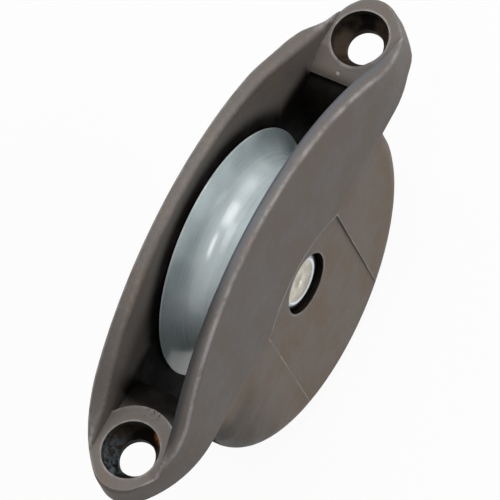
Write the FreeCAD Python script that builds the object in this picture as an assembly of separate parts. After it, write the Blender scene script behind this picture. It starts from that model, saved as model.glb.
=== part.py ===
import FreeCAD, Part
import math
import os

# A flush sheave box: one moulded housing with a raised cheek on each side of a rope slot,
# a screw lug at each end, and a round body that hangs below the mounting surface.
# A grooved sheave turns in the slot on a pressed-in axle.
# All sizes are in millimetres. X runs along the slot, Y along the axle, Z out of the deck.
# The origin is on the mounting surface, midway between the two screw holes.

# The sheave
sheaveDiameter = 35.0
sheaveWidth = 9.4
grooveRadius = 3.9
grooveDepth = 3.4
rimEdgeRound = 0.2
hubInset = 1.1
hubRadius = 8.2
webInset = 1.8
webOuterRadius = 12.4

# The axle, its bush and its washers
axleDiameter = 8.0
axleDrop = 3.8
axleEndRecess = 1.35
axleEndFlatRadius = 2.7
axleEndDome = 0.5
bushWall = 1.5
runningGap = 0.06
seatGap = 0.02
washerThickness = 0.5
washerRadius = 7.0
washerGap = 0.05

# The rope slot and the cheeks beside it
slotSideGap = 0.25
cheekHeight = 18.0
cheekWall = 2.95
cheekDraft = 1.0
lipOuterRound = 0.8
lipInnerRound = 0.8
lipBlend = 0.01
crestFootRound = 20.0
crestRunout = 7.6

# The flange and its screw lugs
screwSpacing = 63.2
screwHoleDiameter = 5.1
countersinkDiameter = 7.9
countersinkAngle = 90.0
countersinkSink = 1.6
lugThickness = 4.0
lugMargin = 6.2
lugEndLength = 12.5
lugTipRadius = 4.5
flangeFootRound = 0.3

# The body below the flange
bodyWall = 2.4
bodyDraft = 0.2
ropePassage = 4.2
bodyEndFlat = 0.1
bodyArcDrop = 4.7
bodyEdgeRound = 3.0
endWall = 1.9

# The flat panel and the axle hole in each side
panelWall = 2.05
panelLength = 18.8
panelArchRise = 2.75
axleHoleMargin = 0.35
axleHoleDepth = 1.7
thrustBossRadius = 7.4

# The slot's two ends: a sloped ramp with a step, and a round boss above a shorter ramp
exitRampSetback = 2.7
exitRampLength = 3.7
exitRampDrop = 1.4
exitRampStep = 0.8
exitRampHeight = 3.3
bossRadius = 6.1
bossStep = 1.2
bossRampHeight = 3.8

sheaveRadius = sheaveDiameter / 2
rimHalf = sheaveWidth / 2
hubHalf = rimHalf - hubInset
webHalf = rimHalf - webInset
slotHalf = rimHalf + slotSideGap
cheekFootHalfWidth = slotHalf + cheekWall
bodyHalfWidth = slotHalf + bodyWall
panelHalfWidth = slotHalf + panelWall
axleRadius = axleDiameter / 2
bushOuterRadius = axleRadius + runningGap + bushWall
thrustFace = hubHalf + washerThickness + 2 * washerGap
axleHalfLength = panelHalfWidth - axleEndRecess
axleHeight = -axleDrop
screwX = screwSpacing / 2
flangeHalfLength = screwX + lugMargin
flangeStraight = flangeHalfLength - lugEndLength
wallInside = sheaveRadius + ropePassage
bodyHalfLength = wallInside + endWall
bodyArcRadius = bodyHalfLength + bodyEndFlat
bodyCentre = -bodyArcDrop
bodyBottom = bodyCentre - bodyArcRadius
crestFootX = screwX + crestRunout
crestFootZ = lugThickness + crestFootRound
crestDrop = cheekHeight - crestFootZ
cheekArcRadius = (crestFootX ** 2 + crestDrop ** 2 - crestFootRound ** 2) / (2 * (cheekHeight - lugThickness))
crestCentre = cheekHeight - cheekArcRadius
clear = 5.0
tiny = 0.001


def vec(x, y, z):
    return FreeCAD.Vector(x, y, z)


origin = vec(0, 0, 0)
alongX = vec(1, 0, 0)
alongY = vec(0, 1, 0)
alongZ = vec(0, 0, 1)


def line(a, b):
    return Part.LineSegment(a, b).toShape()


def arc(a, b, c):
    return Part.Arc(a, b, c).toShape()


def polyline(points):
    return [line(a, b) for a, b in zip(points, points[1:])]


def ovalArc(centre, a, b):
    first, second = sorted((a, b), key=lambda p: -(p - centre).Length)
    oval = Part.Ellipse(first, second, centre)
    low, high = sorted((oval.parameter(a), oval.parameter(b)))
    if high - low > math.pi:
        low, high = high, low + 2 * math.pi
    return Part.ArcOfEllipse(oval, low, high).toShape()


def closedWire(edges):
    return Part.Wire(Part.__sortEdges__(edges))


def bothSides(shape):
    return [shape, shape.mirror(origin, alongY)]


def bothEnds(shape):
    return [shape, shape.mirror(origin, alongX)]


def prism(edges, half):
    solid = Part.Face(closedWire(edges)).extrude(half * 2)
    solid.translate(half * -1)
    return solid


def axleRod(radius, yLow, yHigh):
    return Part.makeCylinder(radius, yHigh - yLow, vec(0, yLow, axleHeight), alongY)


def axleRing(outer, inner, yLow, yHigh):
    return axleRod(outer, yLow, yHigh).cut(axleRod(inner, yLow, yHigh))


def turned(edges):
    return Part.Face(closedWire(edges)).revolve(vec(0, 0, axleHeight), alongY, 360)


# The flange and cheeks are one tapered hull, cut to the crest line seen from the side.
# Each end is drawn with three arcs, so its tapered walls are parts of cones.

def coneSector(centre, radius, turnFrom, turnTo):
    shrink = radius - cheekDraft
    top = vec(0, 0, cheekHeight)
    profile = polyline([origin, vec(radius, 0, 0), vec(shrink, 0, cheekHeight), top, origin])
    sector = Part.Face(closedWire(profile)).revolve(origin, alongZ, turnTo - turnFrom)
    sector.rotate(origin, alongZ, turnFrom)
    sector.translate(centre)
    return sector


def hullEnd():
    tipX = flangeHalfLength - lugTipRadius
    reach = tipX - flangeStraight
    width = cheekFootHalfWidth
    flankRadius = (reach ** 2 + width ** 2 - lugTipRadius ** 2) / (2 * (width - lugTipRadius))
    turn = math.degrees(math.atan2(flankRadius - width, reach))
    flank = coneSector(vec(flangeStraight, width - flankRadius, 0), flankRadius, turn, 90)
    keep = Part.makeBox(flankRadius, flankRadius, cheekHeight, vec(flangeStraight, 0, 0))
    tip = coneSector(vec(tipX, 0, 0), lugTipRadius, -turn, turn)
    return tip.fuse(bothSides(flank.common(keep)))


def taperedHull():
    foot = cheekFootHalfWidth
    lip = cheekFootHalfWidth - cheekDraft
    half = polyline([origin, vec(0, foot, 0), vec(0, lip, cheekHeight), vec(0, 0, cheekHeight)])
    section = [edge for one in half for edge in bothSides(one)]
    wedge = prism(section, vec(flangeStraight, 0, 0))
    return wedge.fuse(bothEnds(hullEnd())).removeSplitter()


def crestEdges():
    far = flangeHalfLength + clear
    centre = vec(0, 0, crestCentre)
    blend = vec(crestFootX, 0, crestFootZ)
    inward = (centre - blend).normalize()
    touch = blend + inward * crestFootRound
    blendMid = blend + (inward - alongZ).normalize() * crestFootRound
    crestMid = centre + (alongZ - inward).normalize() * cheekArcRadius
    foot = vec(crestFootX, 0, lugThickness)
    half = polyline([origin, vec(far, 0, 0), vec(far, 0, lugThickness), foot])
    half += [arc(foot, blendMid, touch), arc(touch, crestMid, vec(0, 0, cheekHeight))]
    return [edge for one in half for edge in bothEnds(one)]


def cheeks():
    shape = taperedHull().common(prism(crestEdges(), vec(0, 2 * cheekFootHalfWidth, 0)))
    solid = shape.removeSplitter().Solids[0]
    lip = [e for e in solid.Edges if e.BoundBox.ZMin > lugThickness / 2 and e.BoundBox.XLength > tiny]
    solid = solid.makeFillet(lipOuterRound, lip).Solids[0]
    foot = [e for e in solid.Edges if e.BoundBox.ZMax < tiny]
    return solid.makeFillet(flangeFootRound, foot)


# The body is a disc with straight ends and well rounded rims, a little thinner than the flange.

def bodyEdges():
    cornerTurn = math.acos(bodyHalfLength / bodyArcRadius)
    midTurn = (cornerTurn + math.pi / 2) / 2
    corner = vec(bodyHalfLength, 0, bodyCentre - bodyArcRadius * math.sin(cornerTurn))
    middle = vec(bodyArcRadius * math.cos(midTurn), 0, bodyCentre - bodyArcRadius * math.sin(midTurn))
    half = polyline([origin, vec(bodyHalfLength, 0, 0), corner])
    half.append(arc(corner, middle, vec(0, 0, bodyBottom)))
    return [edge for one in half for edge in bothEnds(one)]


def body():
    low = bodyHalfWidth - bodyDraft
    section = [vec(0, -bodyHalfWidth, 0), vec(0, bodyHalfWidth, 0), vec(0, low, bodyBottom)]
    section += [vec(0, -low, bodyBottom), vec(0, -bodyHalfWidth, 0)]
    plain = prism(bodyEdges(), vec(0, bodyHalfWidth, 0))
    drafted = plain.common(prism(polyline(section), vec(2 * bodyHalfLength, 0, 0))).Solids[0]
    rims = [e for e in drafted.Edges if e.BoundBox.YLength < bodyHalfWidth and e.BoundBox.ZLength > tiny]
    return drafted.makeFillet(bodyEdgeRound, rims)


# The slot above the lugs is cut by the shape left between two cheeks with rounded inner edges.
# Those cheeks stand lipBlend too high, so their rounding crosses the real crest at a small angle.

def roundedCheek():
    cheek = prism(crestEdges(), vec(0, cheekWall / 2, 0))
    cheek.translate(vec(0, slotHalf + cheekWall / 2, lipBlend))
    inner = [e for e in cheek.Edges if isinstance(e.Curve, Part.Circle) and e.BoundBox.YMax < slotHalf + tiny]
    return cheek.makeFillet(lipInnerRound, inner)


def lipSlot():
    far = flangeHalfLength + clear
    half = slotHalf + lipInnerRound
    block = Part.makeBox(2 * far, 2 * half, cheekHeight, vec(-far, -half, lugThickness))
    return block.cut(bothSides(roundedCheek()))


# The rope slot runs right through, from above the cheeks to below the body.

def slotEdges():
    far = flangeHalfLength + clear
    rampTop = vec(exitRampSetback - screwX, 0, lugThickness)
    rampEdge = vec(rampTop.x + exitRampLength, 0, lugThickness - exitRampDrop)
    longTop = rampEdge - alongZ * exitRampStep
    longCentre = longTop - alongZ * exitRampHeight
    longFoot = vec(-wallInside, 0, longCentre.z)
    bossX = screwX - math.sqrt(bossRadius ** 2 - slotHalf ** 2)
    shortTop = vec(bossX, 0, lugThickness - bossStep)
    shortCentre = vec(bossX, 0, shortTop.z - bossRampHeight)
    shortFoot = vec(wallInside, 0, shortCentre.z)
    below = bodyBottom - clear
    above = cheekHeight + clear
    edges = polyline([longFoot, vec(-wallInside, 0, below), vec(wallInside, 0, below), shortFoot])
    edges += [ovalArc(longCentre, longTop, longFoot), ovalArc(shortCentre, shortTop, shortFoot)]
    edges += polyline([shortTop, vec(bossX, 0, lugThickness), vec(far, 0, lugThickness), vec(far, 0, above),
                       vec(-far, 0, above), vec(-far, 0, lugThickness), rampTop, rampEdge, longTop])
    return edges


def ropeSlot():
    boss = Part.makeCylinder(bossRadius, lugThickness, vec(screwX, 0, 0))
    return prism(slotEdges(), vec(0, slotHalf, 0)).cut(boss)


def screwHole():
    holeRadius = screwHoleDiameter / 2
    headRadius = countersinkDiameter / 2
    depth = (headRadius - holeRadius) / math.tan(math.radians(countersinkAngle / 2))
    hole = Part.makeCylinder(holeRadius, lugThickness + 2 * clear, vec(screwX, 0, -clear))
    seat = lugThickness - countersinkSink
    cone = Part.makeCone(holeRadius, headRadius, depth, vec(screwX, 0, seat - depth))
    mouth = Part.makeCylinder(headRadius, countersinkSink + clear, vec(screwX, 0, seat))
    return hole.fuse([cone, mouth])


def sidePanel():
    half = panelLength / 2
    below = bodyBottom - clear
    edges = polyline([vec(half, 0, 0), vec(half, 0, below), vec(-half, 0, below), vec(-half, 0, 0)])
    edges.append(arc(vec(-half, 0, 0), vec(0, 0, panelArchRise), vec(half, 0, 0)))
    panel = Part.Face(closedWire(edges)).extrude(vec(0, clear, 0))
    panel.translate(vec(0, panelHalfWidth, 0))
    return panel


def housing():
    thrustBoss = axleRod(thrustBossRadius, thrustFace, slotHalf + tiny)
    shell = cheeks().fuse(body()).cut(lipSlot()).cut(ropeSlot())
    shell = shell.fuse(bothSides(thrustBoss))
    axleHole = axleRod(axleRadius + axleHoleMargin, panelHalfWidth - axleHoleDepth, panelHalfWidth + clear)
    axleSeat = axleRod(axleRadius + seatGap, -panelHalfWidth, panelHalfWidth)
    cuts = [axleSeat] + bothSides(sidePanel()) + bothSides(axleHole) + bothEnds(screwHole())
    return shell.cut(cuts).removeSplitter()


# The sheave is turned, with a round rope groove, a thinner web and a raised hub.

def wheelPoint(y, radius):
    return vec(0, y, axleHeight + radius)


def sheave():
    centreRadius = sheaveRadius - grooveDepth + grooveRadius
    grooveHalf = math.sqrt(grooveRadius ** 2 - (centreRadius - sheaveRadius) ** 2)
    half = polyline([
        wheelPoint(grooveHalf, sheaveRadius),
        wheelPoint(rimHalf, sheaveRadius),
        wheelPoint(rimHalf, webOuterRadius),
        wheelPoint(webHalf, webOuterRadius),
        wheelPoint(webHalf, hubRadius),
        wheelPoint(hubHalf, hubRadius),
        wheelPoint(hubHalf, bushOuterRadius),
        wheelPoint(0, bushOuterRadius),
    ])
    edges = [edge for one in half for edge in bothSides(one)]
    bottom = wheelPoint(0, sheaveRadius - grooveDepth)
    edges.append(arc(wheelPoint(-grooveHalf, sheaveRadius), bottom, wheelPoint(grooveHalf, sheaveRadius)))
    wheel = turned(edges)
    rim = [e for e in wheel.Edges
           if isinstance(e.Curve, Part.Circle) and abs(e.Curve.Radius - sheaveRadius) < tiny]
    return wheel.makeFillet(rimEdgeRound, rim)


def axlePin():
    shoulder = axleHalfLength - axleEndDome
    flat = wheelPoint(axleHalfLength, axleEndFlatRadius)
    side = wheelPoint(shoulder, axleRadius)
    half = polyline([wheelPoint(0, 0), wheelPoint(axleHalfLength, 0), flat])
    half.append(ovalArc(wheelPoint(shoulder, axleEndFlatRadius), flat, side))
    half.append(line(side, wheelPoint(0, axleRadius)))
    edges = [edge for one in half for edge in bothSides(one)]
    return turned(edges)


def sheaveBush():
    return axleRing(bushOuterRadius, axleRadius + runningGap, -hubHalf, hubHalf)


def thrustWasher():
    start = hubHalf + washerGap
    return axleRing(washerRadius, axleRadius + runningGap, start, start + washerThickness)


def build():
    right, left = bothSides(thrustWasher())
    parts = {
        "housing": housing(),
        "sheave": sheave(),
        "sheave_bush": sheaveBush(),
        "axle_pin": axlePin(),
        "thrust_washer_right": right,
        "thrust_washer_left": left,
    }
    os.makedirs("parts", exist_ok=True)
    for name, shape in parts.items():
        solids = shape.Solids
        box = shape.BoundBox
        print(name, len(solids), "solid", shape.isValid(), round(shape.Volume, 1),
              [round(v, 2) for v in (box.XMin, box.XMax, box.YMin, box.YMax, box.ZMin, box.ZMax)])
        solid = solids[0] if len(solids) == 1 else shape
        solid.exportStep("parts/" + name + ".step")


build()
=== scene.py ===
import bpy
from math import acos, cos, pi, sin, sqrt
from mathutils import Matrix, Vector


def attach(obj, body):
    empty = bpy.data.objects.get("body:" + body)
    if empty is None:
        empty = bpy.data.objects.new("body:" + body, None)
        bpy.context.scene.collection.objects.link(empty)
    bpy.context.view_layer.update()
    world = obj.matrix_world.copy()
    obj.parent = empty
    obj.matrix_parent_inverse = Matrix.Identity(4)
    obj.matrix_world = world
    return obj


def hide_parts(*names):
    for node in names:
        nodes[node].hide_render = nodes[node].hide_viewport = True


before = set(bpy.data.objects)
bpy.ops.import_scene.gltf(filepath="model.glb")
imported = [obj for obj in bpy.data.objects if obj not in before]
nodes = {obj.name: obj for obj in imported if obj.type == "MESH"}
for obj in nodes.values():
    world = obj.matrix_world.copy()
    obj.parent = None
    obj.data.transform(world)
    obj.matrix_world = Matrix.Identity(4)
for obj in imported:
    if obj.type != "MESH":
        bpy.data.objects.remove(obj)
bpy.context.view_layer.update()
mm = 0.001
axleHeight = -3.8 * mm  # the axle's line, under the mounting plane
screwX = 31.6 * mm  # half the distance between the screws


def inMm(*values):
    return tuple(value * mm for value in values)


# small helpers that write node trees
def setInput(tree, socket, value):
    if isinstance(value, bpy.types.NodeSocket):
        tree.links.new(value, socket)
    else:
        socket.default_value = value


def addNode(tree, kind, inputs=None, **settings):
    node = tree.nodes.new(kind)
    for key, value in settings.items():
        setattr(node, key, value)
    for key, value in (inputs or {}).items():
        setInput(tree, node.inputs[key], value)
    return node


def newMaterial(name):
    material = bpy.data.materials.new(name)
    material.use_nodes = True
    material.node_tree.nodes.clear()
    return material, material.node_tree


def finishMaterial(tree, inputs):
    shader = addNode(tree, "ShaderNodeBsdfPrincipled", inputs)
    output = addNode(tree, "ShaderNodeOutputMaterial")
    tree.links.new(shader.outputs[0], output.inputs[0])


def calc(tree, operation, a, b=None, clamp=False):
    inputs = {0: a} if b is None else {0: a, 1: b}
    return addNode(tree, "ShaderNodeMath", inputs, operation=operation, use_clamp=clamp).outputs[0]


def absolute(tree, value):
    return calc(tree, "ABSOLUTE", value)


def times(tree, *values):
    total = values[0]
    for value in values[1:]:
        total = calc(tree, "MULTIPLY", total, value)
    return total


def largest(tree, *values):
    total = values[0]
    for value in values[1:]:
        total = calc(tree, "MAXIMUM", total, value)
    return total


def objectPoint(tree, stretch=None, turn=None):
    point = addNode(tree, "ShaderNodeTexCoord").outputs["Object"]
    if stretch is None and turn is None:
        return point
    inputs = {"Vector": point, "Scale": stretch or (1, 1, 1), "Rotation": turn or (0, 0, 0)}
    return addNode(tree, "ShaderNodeMapping", inputs).outputs[0]


def axes(tree, point):
    return addNode(tree, "ShaderNodeSeparateXYZ", {0: point}).outputs


def vector(tree, a, b):
    return addNode(tree, "ShaderNodeCombineXYZ", {0: a, 1: b}).outputs[0]


def distance(tree, point, place):
    inputs = {0: point, 1: place}
    return addNode(tree, "ShaderNodeVectorMath", inputs, operation="DISTANCE").outputs["Value"]


def distanceFromAxle(tree, x, z):
    drop = calc(tree, "SUBTRACT", z, axleHeight)
    return calc(tree, "SQRT", calc(tree, "ADD", times(tree, x, x), times(tree, drop, drop)))


def noise(tree, point, size, detail, rough=0.5):
    inputs = {"Vector": point, "Scale": 1 / size, "Detail": detail, "Roughness": rough}
    return addNode(tree, "ShaderNodeTexNoise", inputs).outputs["Fac"]


def ramp(tree, value, low, high, toLow=0.0, toHigh=1.0):
    inputs = {"Value": value, "From Min": low, "From Max": high, "To Min": toLow, "To Max": toHigh}
    return addNode(tree, "ShaderNodeMapRange", inputs, interpolation_type="SMOOTHSTEP").outputs[0]


def blend(tree, factor, a, b):
    node = addNode(tree, "ShaderNodeMix", data_type="RGBA")
    for index, value in ((0, factor), (6, a), (7, b)):
        setInput(tree, node.inputs[index], value)
    return node.outputs[2]


def bump(tree, height, depth, normal=None):
    inputs = {"Height": height, "Distance": depth, "Strength": 1.0}
    if normal:
        inputs["Normal"] = normal
    return addNode(tree, "ShaderNodeBump", inputs).outputs[0]


def nearEdge(tree, reach):
    # rays into the solid leave it soonest beside an outer edge
    settings = {"inside": True, "only_local": True, "samples": 8}
    shade = addNode(tree, "ShaderNodeAmbientOcclusion", {"Distance": reach}, **settings)
    return calc(tree, "SUBTRACT", 1.0, shade.outputs["AO"])


def spot(tree, point, place, size):
    # one soft round place on the surface, 1 at its middle
    return ramp(tree, distance(tree, point, place), size, size * 0.4)


def addPiece(name, mesh):
    piece = bpy.data.objects.new(name, mesh)
    bpy.context.scene.collection.objects.link(piece)
    return piece


def paint(node, material):
    nodes[node].data.materials.clear()
    nodes[node].data.materials.append(material)


housing = {
    "grey": (0.088, 0.076, 0.068, 1),
    "brown": (0.112, 0.082, 0.058, 1),
    "dust": (0.19, 0.17, 0.15, 1),
    "wearAndHighlight": (0.30, 0.29, 0.29, 1),
    "dark": (0.004, 0.0032, 0.0026, 1),
    # painted sheen grey for the +Y lip
    "lipSheenGrey": (0.074, 0.080, 0.090, 1),
    "seat": (0.035, 0.025, 0.017, 1),
    "rust": (0.42, 0.16, 0.035, 1),
    # painted bluish sheen for the boss's screw seat
    "blueSheen": (0.055, 0.07, 0.08, 1),

    # patterns: size, detail and, where given, roughness
    "mottle": (4.5 * mm, 5, 0.55),
    "speck": (0.8 * mm, 3, 0.6),
    "grain": (0.22 * mm, 2),
    "streak": (3.2 * mm, 6, 0.65),
    "coarse": (1.4 * mm, 4),
    "scratch": (0.16 * mm, 1),
    "patch": (0.7 * mm, 2),
    "scratchStretch": (0.12, 1, 1), "scratchTurn": (0, 0, 0.6),

    # masks: a mask starts at its first value and is full at its second.
    # Where there are four, the last two are the mask's own start and full values.
    "sheenGreyHeight": inMm(0.4, -0.4) + (0.1, 0.8), "brownMottle": (0.3, 0.7, -0.35, 0.35),
    "dustSpeck": (0.55, 0.8, 0, 0.2), "wearGrain": (0.5, 0.8, 0, 0.12),
    "flankShadeHeight": inMm(-1, -5), "flankShadeAlong": inMm(12, 23), "flankShadeAmount": 0.75,
    "edgeReach": 0.55 * mm, "edgeNear": (0.10, 0.4),
    "edgeMottle": (0.35, 0.65, 0.15, 0.75), "edgeSpeck": (0.3, 0.6, 0.4, 1.0),
    "lipReach": 1.3 * mm, "lipNear": (0.14, 0.42), "lipHeight": inMm(4.3, 5.4),
    "lipMottle": (0.35, 0.6, 0.35, 1.0), "lipSpeck": (0.3, 0.7, 0.1, 0.75),
    "cornerTurned": (0.20, 0.60), "cornerUpright": (0.99, 0.70), "cornerUpward": (0.1, 0.3),
    "cornerSide": inMm(5.8, 6.1), "cornerHeight": inMm(4.3, 6.0), "cornerHighlightStreak": (0.35, 0.62, 0.12, 0.62),
    "sheenOutside": inMm(6.6, 5.6), "sheenInside": inMm(4.0, 4.6), "sheenHeight": inMm(5, 7),
    "sheenShadeAlong": inMm(4, 16) + (0, 0.8), "sheenAmount": 0.95,
    "slotSide": inMm(5.3, 5.0), "slotEnd": inMm(29.6, 29.0), "slotFloor": inMm(3.2, 2.2),
    "wallHeight": inMm(6.0, 2.6), "wallEnd": inMm(25.6, 24.6), "sheaveRing": inMm(21.5, 18.4),
    "holeRadius": inMm(4.5, 4.4), "holeDepth": inMm(7.05, 6.8), "shadeMottle": (0.2, 0.6, 0.9, 1.0),
    "seatRadius": inMm(4.02, 3.94), "seatHeight": inMm(3.98, 3.85), "seatMottle": (0.4, 0.6),
    "blueSheenAlong": inMm(29, 31.5), "blueSheenAcross": inMm(0, -1.5), "blueSheenSpeck": (0.4, 0.62),
    "rustSpeck": (0.36, 0.5), "scratchLine": (0.5, 0.6), "scratchPatch": (0.45, 0.55),

    # spots: place and size
    "rustSpot": (inMm(28.7, 1.9, 3.0), 1.5 * mm),
    "scuffSpot": (inMm(25.8, 0.3, 4.0), 1.9 * mm), "scuffAmount": 0.85,
    "chipSpot": (inMm(-26.3, -0.7, 3.0), 0.38 * mm), "chipAmount": 0.6,

    # finish
    "rough": (0.3, 0.7, 0.46, 0.60), "roughGrain": (0.3, 0.7), "grainRough": 0.08, "seatSmooth": 0.10,
    "coarseDepth": 0.05 * mm, "grainDepth": 0.010 * mm, "markDepth": 0.03 * mm, "chipDepth": 3.0,
    "seatMatt": 0.9, "gloss": (0.0, 1.0, 0.36, 0.02),
}


def housingMaterial():
    material, tree = newMaterial("glassFilledNylon")
    point = objectPoint(tree)
    x, y, z = axes(tree, point)
    along, side = absolute(tree, x), absolute(tree, y)
    mottle = noise(tree, point, *housing["mottle"])
    speck = noise(tree, point, *housing["speck"])
    grain = noise(tree, point, *housing["grain"])

    def mask(value, name):
        return ramp(tree, value, *housing[name])

    # the body below the flange is browner, and the flange above is painted greyer as a painted grazing
    # reflection; both tones drift over the surface
    tone = calc(tree, "ADD", mask(z, "sheenGreyHeight"), mask(mottle, "brownMottle"), True)
    base = blend(tree, tone, housing["grey"], housing["brown"])
    base = blend(tree, mask(speck, "dustSpeck"), base, housing["dust"])
    base = blend(tree, mask(grain, "wearGrain"), base, housing["wearAndHighlight"])

    # painted shade: the flank of the body darkens towards the boss end
    flankShade = times(tree, mask(z, "flankShadeHeight"), mask(x, "flankShadeAlong"), housing["flankShadeAmount"])
    base = blend(tree, flankShade, base, housing["dark"])

    # worn outer edges and wider wear on the lips, both broken up by the mottle; both are also painted paler as
    # highlight lines along the rounded edges
    edge = mask(nearEdge(tree, housing["edgeReach"]), "edgeNear")
    wornAndHighlit = times(tree, edge, mask(mottle, "edgeMottle"), mask(speck, "edgeSpeck"))
    base = blend(tree, wornAndHighlit, base, housing["wearAndHighlight"])
    edge = mask(nearEdge(tree, housing["lipReach"]), "lipNear")
    rubbed = times(tree, edge, mask(speck, "lipSpeck"), mask(mottle, "lipMottle"), mask(z, "lipHeight"))
    base = blend(tree, rubbed, base, housing["wearAndHighlight"])

    # a painted highlight line along the outer corner of each lip, with some rubbing from hands and ropes
    facing = axes(tree, addNode(tree, "ShaderNodeTexCoord").outputs["Normal"])
    sideways = absolute(tree, facing[1])
    corner = times(tree, mask(sideways, "cornerTurned"), mask(sideways, "cornerUpright"),
                   mask(facing[2], "cornerUpward"), mask(side, "cornerSide"), mask(z, "cornerHeight"))
    streak = noise(tree, point, *housing["streak"])
    base = blend(tree, times(tree, corner, mask(streak, "cornerHighlightStreak")), base, housing["wearAndHighlight"])

    # the lip on the +Y side is painted a cooler grey as a painted reflection, and painted darker towards the
    # boss end as painted shade
    lip = times(tree, mask(y, "sheenOutside"), mask(y, "sheenInside"), mask(z, "sheenHeight"))
    sheenAndShade = blend(tree, mask(x, "sheenShadeAlong"), housing["lipSheenGrey"], housing["dark"])
    base = blend(tree, times(tree, lip, housing["sheenAmount"]), base, sheenAndShade)

    # painted shade: the slot, the ring beside the sheave and the axle holes are painted near black as shade,
    # with some rope grime
    fromAxle = distanceFromAxle(tree, x, z)
    inSlot = times(tree, mask(side, "slotSide"), mask(along, "slotEnd"))
    walls = times(tree, mask(z, "wallHeight"), mask(along, "wallEnd"))
    deep = largest(tree, walls, mask(fromAxle, "sheaveRing"), mask(z, "slotFloor"))
    inHole = times(tree, mask(fromAxle, "holeRadius"), mask(side, "holeDepth"))
    grime = largest(tree, times(tree, inSlot, deep), inHole)
    grime = times(tree, grime, mask(mottle, "shadeMottle"))
    base = blend(tree, grime, base, housing["dark"])

    # the screw seats are painted dark as shade in their recess and rubbed smoother, and the one in the boss has
    # a painted bluish sheen and some rust
    fromScrew = distance(tree, vector(tree, along, y), (screwX, 0, 0))
    seat = times(tree, mask(fromScrew, "seatRadius"), mask(z, "seatHeight"))
    seatShade = blend(tree, mask(mottle, "seatMottle"), housing["dark"], housing["seat"])
    base = blend(tree, seat, base, seatShade)
    blueSheen = times(tree, seat, mask(x, "blueSheenAlong"), mask(y, "blueSheenAcross"), mask(speck, "blueSheenSpeck"))
    base = blend(tree, blueSheen, base, housing["blueSheen"])
    rust = times(tree, seat, spot(tree, point, *housing["rustSpot"]), mask(speck, "rustSpeck"))
    base = blend(tree, rust, base, housing["rust"])

    # fine scratches where a rope or a driver slipped on the boss, and a chip on the ramp
    turned = objectPoint(tree, housing["scratchStretch"], housing["scratchTurn"])
    lines = mask(noise(tree, turned, *housing["scratch"]), "scratchLine")
    patches = mask(noise(tree, point, *housing["patch"]), "scratchPatch")
    scuff = times(tree, spot(tree, point, *housing["scuffSpot"]), lines, patches)
    base = blend(tree, times(tree, scuff, housing["scuffAmount"]), base, housing["dark"])
    chip = spot(tree, point, *housing["chipSpot"])
    base = blend(tree, times(tree, chip, housing["chipAmount"]), base, housing["wearAndHighlight"])

    roughGrain = times(tree, mask(grain, "roughGrain"), housing["grainRough"])
    rough = calc(tree, "ADD", mask(mottle, "rough"), roughGrain)
    rough = calc(tree, "SUBTRACT", rough, times(tree, seat, housing["seatSmooth"]))
    normal = bump(tree, noise(tree, point, *housing["coarse"]), housing["coarseDepth"])
    normal = bump(tree, grain, housing["grainDepth"], normal)
    marks = calc(tree, "ADD", scuff, times(tree, chip, housing["chipDepth"]))
    normal = bump(tree, calc(tree, "SUBTRACT", 1.0, marks), housing["markDepth"], normal)
    matt = largest(tree, grime, times(tree, seat, housing["seatMatt"]))
    finishMaterial(tree, {"Base Color": base, "Roughness": rough, "Normal": normal,
                          "Specular IOR Level": mask(matt, "gloss")})
    return material


# the moulding of the lug at the ramp end leans. Each line gives where a lean starts and is full,
# measured from the middle towards that lug, and how far it moves the surface towards +Y.
lugLean = {
    "farCheek": inMm(18, 24, 0.35),
    "farLug": inMm(28, 31.5, 0.75),
    "nearLug": inMm(30, 33.5, 0.5),
    "farSide": inMm(-1, 3),  # from the near side's lean to the far side's
    "holeClear": inMm(4.2, 6.2),  # round the screw, where nothing moves
    "tip": inMm(33, 37),  # where the lean ends
    "mergeWithin": 0.0005 * mm,
}


def rise(value, low, high):
    share = min(max((value - low) / (high - low), 0.0), 1.0)
    return share * share * (3 - 2 * share)


def leaned(point):
    x, y, z = point
    back = -x
    clearOfHole = rise(sqrt((x + screwX) ** 2 + y * y), *lugLean["holeClear"])
    farLeans = (lugLean["farCheek"], lugLean["farLug"])
    far = sum(rise(back, low, high) * move for low, high, move in farLeans)
    low, high, move = lugLean["nearLug"]
    near = rise(back, low, high) * move
    share = rise(-y, *lugLean["farSide"])
    shift = (near + (far - near) * share) * clearOfHole * (1 - rise(back, *lugLean["tip"]))
    return (x, y + shift, z)


def housingShell():
    # the CAD mesh is merged and keeps its corner normals, so rounded edges shade as before
    source = nodes["housing"].data
    places, points, faces, normals = {}, [], [], []
    for face in source.polygons:
        ring = []
        for corner in face.loop_indices:
            point = source.vertices[source.loops[corner].vertex_index].co
            key = tuple(round(value / lugLean["mergeWithin"]) for value in point)
            if key not in places:
                places[key] = len(points)
                points.append(leaned(point))
            ring.append(places[key])
        if len(set(ring)) == len(ring):
            faces.append(ring)
            normals += [source.corner_normals[corner].vector.copy() for corner in face.loop_indices]
    mesh = bpy.data.meshes.new("housingShell")
    mesh.from_pydata(points, [], faces)
    mesh.polygons.foreach_set("use_smooth", [True] * len(faces))
    mesh.normals_split_custom_set(normals)
    mesh.materials.append(housingMaterial())
    return addPiece("housingShell", mesh)


shell = housingShell()
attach(shell, "housing_body")
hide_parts("housing")
print("housing done", len(shell.data.polygons), "faces")


# one tree turns a closed profile around the axle, with its marked corners rounded
turning = {"cornerPoints": 6, "ringRadius": 10 * mm}


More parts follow.
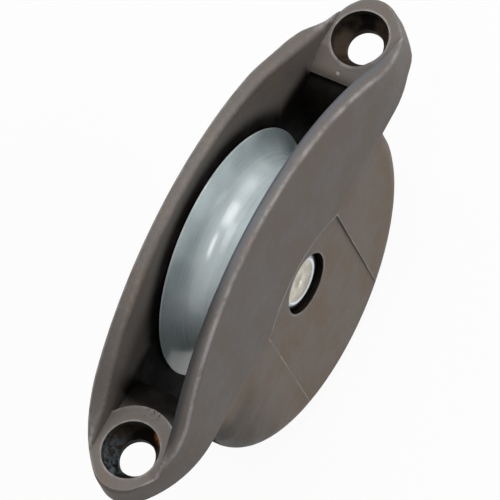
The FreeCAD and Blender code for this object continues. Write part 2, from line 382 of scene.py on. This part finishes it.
def turningTree(name, material):
    tree = bpy.data.node_groups.new(name, "GeometryNodeTree")
    sockets = (("Segments", "Int"), ("Corner Points", "Int"), ("Ring Radius", "Float"), ("Axle Height", "Float"))
    tree.interface.new_socket("Geometry", in_out="INPUT", socket_type="NodeSocketGeometry")
    for label, kind in sockets:
        tree.interface.new_socket(label, in_out="INPUT", socket_type="NodeSocket" + kind)
    tree.interface.new_socket("Geometry", in_out="OUTPUT", socket_type="NodeSocketGeometry")
    given = addNode(tree, "NodeGroupInput").outputs

    def step(kind, inputs, **settings):
        return addNode(tree, kind, inputs, **settings).outputs[0]

    corner = step("GeometryNodeInputNamedAttribute", {"Name": "cornerRound"}, data_type="FLOAT")
    outline = step("GeometryNodeMeshToCurve", {"Mesh": given["Geometry"]})
    rounding = {"Curve": outline, "Radius": corner, "Limit Radius": True}
    fillet = addNode(tree, "GeometryNodeFilletCurve", rounding, mode="POLY")
    tree.links.new(given["Corner Points"], fillet.inputs["Count"])
    circle = {"Resolution": given["Segments"], "Radius": given["Ring Radius"]}
    ring = step("GeometryNodeCurvePrimitiveCircle", circle)
    solid = step("GeometryNodeCurveToMesh", {"Curve": ring, "Profile Curve": fillet.outputs[0]})
    place = step("ShaderNodeCombineXYZ", {2: given["Axle Height"]})
    solid = step("GeometryNodeTransform", {"Geometry": solid, "Translation": place, "Rotation": (pi / 2, 0, 0)})
    solid = step("GeometryNodeSetShadeSmooth", {"Geometry": solid})
    solid = step("GeometryNodeRealizeInstances", {"Geometry": solid})
    solid = step("GeometryNodeSetMaterial", {"Geometry": solid, "Material": material})
    tree.links.new(solid, addNode(tree, "NodeGroupOutput").inputs[0])
    return tree


def turnedPiece(name, profile, material, segments):
    # profile is a closed list of (place along the axle, radius, corner rounding)
    mesh = bpy.data.meshes.new(name + "Profile")
    corners = [(radius - turning["ringRadius"], along, 0) for along, radius, rounding in profile]
    mesh.from_pydata(corners, [(i, (i + 1) % len(corners)) for i in range(len(corners))], [])
    roundings = mesh.attributes.new("cornerRound", "FLOAT", "POINT")
    roundings.data.foreach_set("value", [rounding for along, radius, rounding in profile])
    piece = addPiece(name, mesh)
    tree = turningTree(name + "Turning", material)
    modifier = piece.modifiers.new("turning", "NODES")
    modifier.node_group = tree
    sizes = {"Segments": segments, "Corner Points": turning["cornerPoints"],
             "Ring Radius": turning["ringRadius"], "Axle Height": axleHeight}
    for item in tree.interface.items_tree:
        if item.name in sizes and item.in_out == "INPUT":
            modifier[item.identifier] = sizes[item.name]
    evaluated = piece.evaluated_get(bpy.context.evaluated_depsgraph_get())
    finished = bpy.data.meshes.new_from_object(evaluated)
    piece.modifiers.remove(modifier)
    piece.data = finished
    finished.name = name
    return piece


sheave = {
    "segments": 192, "grooveSteps": 36,
    "radius": 17.5 * mm, "half": 4.7 * mm, "bore": 5.56 * mm,
    "grooveHalf": 4.45 * mm, "grooveDepth": 3.4 * mm,
    "webHalf": 2.9 * mm, "webRadius": 12.4 * mm,
    "hubHalf": 3.6 * mm, "hubRadius": 8.2 * mm,
    "rimRound": 0.1 * mm, "innerRound": 0.5 * mm,

    "colour": (0.42, 0.48, 0.49, 1),
    "shade": (0.32, 0.375, 0.385, 1),
    "rubbed": (0.56, 0.60, 0.605, 1),
    # patterns and masks are written as for the housing
    "cloud": (5 * mm, 4), "streak": (0.12 * mm, 2), "wave": (1.5 * mm, 2),
    "shadeCloud": (0.3, 0.7),
    "ropeRadius": inMm(16.2, 14.4), "ropeStreak": (0.35, 0.7), "ropeAmount": 0.35,
    "rimReach": 0.3 * mm, "rimNear": (0.4, 0.8), "rimCloud": (0.35, 0.6, 0.2, 0.8),
    "rough": (0.3, 0.7, 0.19, 0.24), "roughStreak": (0.4, 0.7), "streakRough": 0.05,
    "waveDepth": 0.008 * mm, "streakDepth": 0.001 * mm, "gloss": 0.8,
}


def sheaveProfile():
    arcRadius = (sheave["grooveHalf"] ** 2 / sheave["grooveDepth"] + sheave["grooveDepth"]) / 2
    centre = sheave["radius"] - sheave["grooveDepth"] + arcRadius
    sweep = acos((centre - sheave["radius"]) / arcRadius)
    steps = sheave["grooveSteps"]
    small, large = sheave["rimRound"], sheave["innerRound"]
    profile = []
    for i in range(steps + 1):
        turn = sweep * (2 * i / steps - 1)
        rounding = small if i in (0, steps) else 0
        profile.append((arcRadius * sin(turn), centre - arcRadius * cos(turn), rounding))
    side = [(sheave["half"], sheave["radius"], small), (sheave["half"], sheave["webRadius"], small),
            (sheave["webHalf"], sheave["webRadius"], large), (sheave["webHalf"], sheave["hubRadius"], large),
            (sheave["hubHalf"], sheave["hubRadius"], small), (sheave["hubHalf"], sheave["bore"], small)]
    return profile + side + [(-along, radius, rounding) for along, radius, rounding in reversed(side)]


def sheaveMaterial():
    material, tree = newMaterial("greyAcetal")
    point = objectPoint(tree)
    x, y, z = axes(tree, point)
    radius = distanceFromAxle(tree, x, z)
    cloud = noise(tree, point, *sheave["cloud"])
    streak = noise(tree, vector(tree, radius, y), *sheave["streak"])

    def mask(value, name):
        return ramp(tree, value, *sheave[name])

    # the rope has polished the bottom of the groove, and the rim edges are scuffed pale
    base = blend(tree, mask(cloud, "shadeCloud"), sheave["colour"], sheave["shade"])
    rope = times(tree, mask(radius, "ropeRadius"), mask(streak, "ropeStreak"), sheave["ropeAmount"])
    base = blend(tree, rope, base, sheave["rubbed"])
    rim = times(tree, mask(nearEdge(tree, sheave["rimReach"]), "rimNear"), mask(cloud, "rimCloud"))
    base = blend(tree, rim, base, sheave["rubbed"])

    roughStreak = times(tree, mask(streak, "roughStreak"), sheave["streakRough"])
    rough = calc(tree, "ADD", mask(cloud, "rough"), roughStreak)
    normal = bump(tree, noise(tree, point, *sheave["wave"]), sheave["waveDepth"])
    normal = bump(tree, streak, sheave["streakDepth"], normal)
    finishMaterial(tree, {"Base Color": base, "Roughness": rough, "Normal": normal,
                          "Specular IOR Level": sheave["gloss"]})
    return material


sheaveWheel = turnedPiece("sheaveWheel", sheaveProfile(), sheaveMaterial(), sheave["segments"])
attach(sheaveWheel, "sheave_body")
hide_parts("sheave")
print("sheave done")


axle = {
    "segments": 96, "domeSteps": 10,
    "radius": 4.0 * mm, "half": 6.1 * mm,
    "disc": 3.05 * mm,  # radius of the flat middle of each end
    "discDrop": 0.1 * mm, "discRound": 0.05 * mm, "discRim": 0.12 * mm, "pole": 0.02 * mm,
    "groove": 0.14 * mm, "dome": 0.20 * mm,

    "steel": (0.50, 0.55, 0.58, 1),
    # the disc's beige is a painted warm reflection; the near-white is a painted highlight
    "warmSheen": (0.52, 0.49, 0.41, 1),
    "dull": (0.66, 0.64, 0.56, 1),
    "highlightWhite": (0.95, 0.96, 0.97, 1),
    "line": (0.10, 0.10, 0.10, 1),
    # patterns and masks are written as for the housing
    "cloud": (1.2 * mm, 4), "ring": (0.08 * mm, 2),
    "sheenCloud": (0.3, 0.7), "lineRing": (0.5, 0.75, 0, 0.3),
    "discSoft": 0.05 * mm, "highlightOutside": inMm(0.3, 0.15),
    "discRough": 0.22, "rough": (0.3, 0.7, 0.22, 0.34), "ringDepth": 0.002 * mm,
}


def axleProfile():
    disc, groove, half = axle["disc"], axle["groove"], axle["half"]
    inner = disc + 2 * groove
    face = half - axle["discDrop"]
    end = [(face, axle["pole"], 0), (face, disc / 2, 0), (face, disc - axle["discRim"], 0),
           (face, disc, axle["discRound"]), (face - groove, disc + groove, 0)]
    for i in range(axle["domeSteps"] + 1):
        turn = pi / 2 * i / axle["domeSteps"]
        along = half - axle["dome"] * (1 - cos(turn))
        end.append((along, inner + (axle["radius"] - inner) * sin(turn), 0))
    return [(-along, radius, rounding) for along, radius, rounding in end] + end[::-1]


def axleMaterial():
    material, tree = newMaterial("turnedSteel")
    point = objectPoint(tree)
    x, y, z = axes(tree, point)
    radius = distanceFromAxle(tree, x, z)
    cloud = noise(tree, point, *axle["cloud"])
    rings = noise(tree, vector(tree, radius, y), *axle["ring"])

    def mask(value, name):
        return ramp(tree, value, *axle[name])

    # a dull disc painted beige as a painted warm reflection, a painted white highlight on its rim, and turned
    # steel outside it
    disc, soft = axle["disc"], axle["discSoft"]
    onDisc = ramp(tree, radius, disc + soft, disc - soft)
    outer = calc(tree, "SUBTRACT", 1.0, onDisc)
    discTone = blend(tree, mask(cloud, "sheenCloud"), axle["warmSheen"], axle["dull"])
    base = blend(tree, onDisc, axle["steel"], discTone)
    rimInside = ramp(tree, radius, disc - axle["discRim"], disc)
    rimOutside = ramp(tree, radius, *(disc + reach for reach in axle["highlightOutside"]))
    base = blend(tree, times(tree, rimInside, rimOutside), base, axle["highlightWhite"])
    base = blend(tree, times(tree, outer, mask(rings, "lineRing")), base, axle["line"])
    rough = calc(tree, "ADD", times(tree, onDisc, axle["discRough"]), mask(rings, "rough"))
    normal = bump(tree, times(tree, outer, rings), axle["ringDepth"])
    finishMaterial(tree, {"Base Color": base, "Metallic": 1.0, "Roughness": rough, "Normal": normal})
    return material


axlePiece = turnedPiece("axleTurned", axleProfile(), axleMaterial(), axle["segments"])
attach(axlePiece, "housing_body")
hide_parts("axle_pin")
print("axle done")


bearings = {
    "bush": (0.55, 0.5, 0.4, 1), "washer": (0.6, 0.57, 0.5, 1),
    "grime": (0.2, 0.17, 0.13, 1), "edge": (0.8, 0.78, 0.72, 1),
    "cloud": (1.5 * mm, 4), "fine": (0.25 * mm, 2),
    "grimeCloud": (0.45, 0.8, 0, 0.5),
    "edgeReach": 0.2 * mm, "edgeNear": (0.4, 0.9), "edgeAmount": 0.4,
    "rough": (0.3, 0.7, 0.4, 0.55), "fineDepth": 0.005 * mm,
}


def bearingMaterial(name, colour):
    material, tree = newMaterial(name)
    point = objectPoint(tree)
    cloud = noise(tree, point, *bearings["cloud"])
    fine = noise(tree, point, *bearings["fine"])
    base = blend(tree, ramp(tree, cloud, *bearings["grimeCloud"]), colour, bearings["grime"])
    edge = ramp(tree, nearEdge(tree, bearings["edgeReach"]), *bearings["edgeNear"])
    base = blend(tree, times(tree, edge, bearings["edgeAmount"]), base, bearings["edge"])
    finishMaterial(tree, {"Base Color": base, "Roughness": ramp(tree, fine, *bearings["rough"]),
                          "Normal": bump(tree, fine, bearings["fineDepth"])})
    return material


paint("sheave_bush", bearingMaterial("bearingPlastic", bearings["bush"]))
for washer in ("thrust_washer_right", "thrust_washer_left"):
    paint(washer, bearingMaterial("washerPlastic", bearings["washer"]))
print("bearings done")


room = {
    "white": (1, 1, 1, 1), "worldLevel": 0.03,
    "floorHeight": -28.6 * mm, "floorSize": 4.0, "floorColour": (0.6, 0.6, 0.6, 1), "floorGlow": 0.94,
    "lampDistance": 0.8,
    # each lamp: direction from the object, width, length, power
    "lamps": {
        "highBox": ((-0.36, 0.0, 0.93), 0.4, 0.4, 3.5),
        "endBox": ((-0.82, 0.0, 0.57), 0.4, 0.4, 1.1),
        "sideBox": ((-0.36, 0.78, 0.51), 0.16, 0.28, 3.2),
        "backBox": ((0.0, -0.5, 0.87), 0.4, 0.4, 1.6),
        "overheadBox": ((0.28, 0.16, 0.95), 0.10, 0.34, 1.5),
    },
}


def seenDirectly(tree):
    # the floor and the room look white to the camera, and in gloss and glass
    rays = addNode(tree, "ShaderNodeLightPath").outputs
    return largest(tree, rays["Is Camera Ray"], rays["Is Glossy Ray"], rays["Is Transmission Ray"])


def makeFloor():
    half = room["floorSize"] / 2
    z = room["floorHeight"]
    mesh = bpy.data.meshes.new("floor")
    corners = [(-half, -half, z), (half, -half, z), (half, half, z), (-half, half, z)]
    mesh.from_pydata(corners, [], [(0, 1, 2, 3)])
    floor = addPiece("floor", mesh)
    material, tree = newMaterial("paleFloor")
    diffuse = addNode(tree, "ShaderNodeBsdfDiffuse", {"Color": room["floorColour"]})
    glow = addNode(tree, "ShaderNodeEmission", {"Color": room["white"], "Strength": 1.0})
    share = times(tree, seenDirectly(tree), room["floorGlow"])
    mix = addNode(tree, "ShaderNodeMixShader", {0: share, 1: diffuse.outputs[0], 2: glow.outputs[0]})
    tree.links.new(mix.outputs[0], addNode(tree, "ShaderNodeOutputMaterial").inputs[0])
    mesh.materials.append(material)


def makeWorld():
    world = bpy.data.worlds.new("studio")
    world.use_nodes = True
    tree = world.node_tree
    tree.nodes.clear()
    soft = addNode(tree, "ShaderNodeBackground", {"Color": room["white"], "Strength": room["worldLevel"]})
    white = addNode(tree, "ShaderNodeBackground", {"Color": room["white"], "Strength": 1.0})
    mix = addNode(tree, "ShaderNodeMixShader", {0: seenDirectly(tree), 1: soft.outputs[0], 2: white.outputs[0]})
    tree.links.new(mix.outputs[0], addNode(tree, "ShaderNodeOutputWorld").inputs[0])
    bpy.context.scene.world = world


def placed(name, data, eye, right, up, back):
    holder = addPiece(name, data)
    turn = Matrix((right, up, back)).transposed().to_4x4()
    holder.matrix_world = Matrix.Translation(eye) @ turn
    return holder


def makeLamps():
    for name, (direction, width, length, power) in room["lamps"].items():
        lamp = bpy.data.lights.new(name, "AREA")
        lamp.shape = "RECTANGLE"
        lamp.size = length
        lamp.size_y = width
        lamp.energy = power
        back = Vector(direction).normalized()
        right = (Vector((1, 0, 0)) - back * back.x).normalized()
        placed(name, lamp, back * room["lampDistance"], right, back.cross(right), back)


# the place and turn that fit the photo's view
camera = {
    "eye": inMm(155.49, 256.98, 582.2),
    "right": (-0.472311, 0.845797, -0.248096),
    "up": (-0.848826, -0.360603, 0.386599),
    "lens": 360.36, "sensor": 36, "clipStart": 0.05,
}


def makeCamera():
    data = bpy.data.cameras.new("camera")
    data.sensor_fit = "HORIZONTAL"
    data.sensor_width = camera["sensor"]
    data.lens = camera["lens"]
    data.clip_start = camera["clipStart"]
    right = Vector(camera["right"]).normalized()
    up = Vector(camera["up"])
    up = (up - right * up.dot(right)).normalized()
    bpy.context.scene.camera = placed("camera", data, camera["eye"], right, up, right.cross(up))


makeFloor()
makeWorld()
makeLamps()
makeCamera()
bpy.context.scene.view_settings.view_transform = "Standard"
print("studio done")
